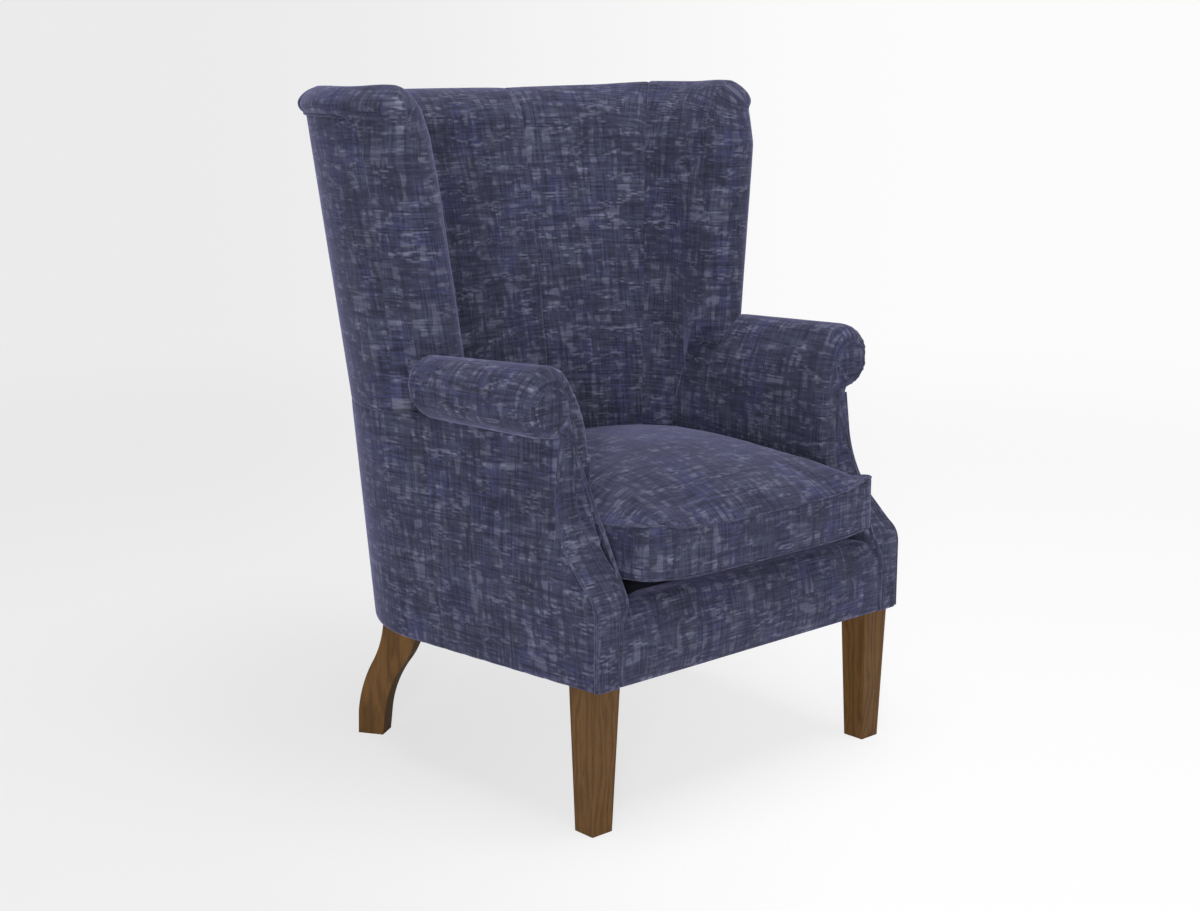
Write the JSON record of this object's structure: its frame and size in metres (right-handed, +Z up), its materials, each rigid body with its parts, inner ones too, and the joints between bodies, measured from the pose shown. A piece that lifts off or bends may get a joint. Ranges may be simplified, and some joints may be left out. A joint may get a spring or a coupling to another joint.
{
  "type": "upholstered wing armchair",
  "caption": "Barrel-back wing armchair in navy slub weave with rolled arms, channelled back, loose seat cushion and tapered oak legs.",
  "frame": {"origin": "on the floor, under the middle of the chair's bounding box", "axes": "+Z up, -Y the way the chair faces, +X the sitter's left"},
  "size_m": [0.7876, 0.8072, 1.028],
  "materials": {
    "slub_weave": "matte navy slub weave with pale flecks",
    "deck_cloth": "plain navy lining cloth over felt",
    "black_cloth": "thin black non-woven cloth",
    "webbing": "woven jute",
    "leg_oak": "mid-brown stained oak, satin lacquer",
    "frame_timber": "planed, unfinished beech",
    "zinc_steel": "bright zinc plate",
    "clip_steel": "pressed strip, zinc plate",
    "spring_steel": "black oiled spring wire"
  },
  "bodies": {
    "frame": {"arm_facing_left": "slub_weave", "arm_facing_right": "slub_weave", "arm_post_left": "frame_timber", "arm_post_right": "frame_timber", "arm_rail_left": "frame_timber", "arm_rail_right": "frame_timber", "back_rail": "frame_timber", "back_upright_left": "frame_timber", "back_upright_right": "frame_timber", "back_webbing": "webbing", "crest_rail": "frame_timber", "dust_cover": "black_cloth", "front_border": "slub_weave", "front_corner_block_left": "frame_timber", "front_corner_block_right": "frame_timber", "front_leg_left": "leg_oak", "front_leg_right": "leg_oak", "front_rail": "frame_timber", "inside_arm_left": "slub_weave", "inside_arm_right": "slub_weave", "inside_back_centre": "slub_weave", "inside_back_side_left": "slub_weave", "inside_back_side_right": "slub_weave", "inside_wing_left": "slub_weave", "inside_wing_right": "slub_weave", "leg_bolts": "zinc_steel", "outside_arm_left": "slub_weave", "outside_arm_right": "slub_weave", "outside_back": "slub_weave", "outside_wing_left": "slub_weave", "outside_wing_right": "slub_weave", "rear_corner_block_left": "frame_timber", "rear_corner_block_right": "frame_timber", "rear_leg_left": "leg_oak", "rear_leg_right": "leg_oak", "seat_deck": "deck_cloth", "seat_springs": "spring_steel", "side_rail_left": "frame_timber", "side_rail_right": "frame_timber", "spring_clips": "clip_steel", "stay_rail": "frame_timber", "wing_post_left": "frame_timber", "wing_post_right": "frame_timber", "wing_rail_left": "frame_timber", "wing_rail_right": "frame_timber"},
    "cushion": {"seat_cushion": "slub_weave"}
  },
  "joints": [
    {"name": "cushion_lift", "type": "slide", "parent": "frame", "child": "cushion", "axis": [0, 0, 1], "range_m": [0, 0.15]}
  ]
}
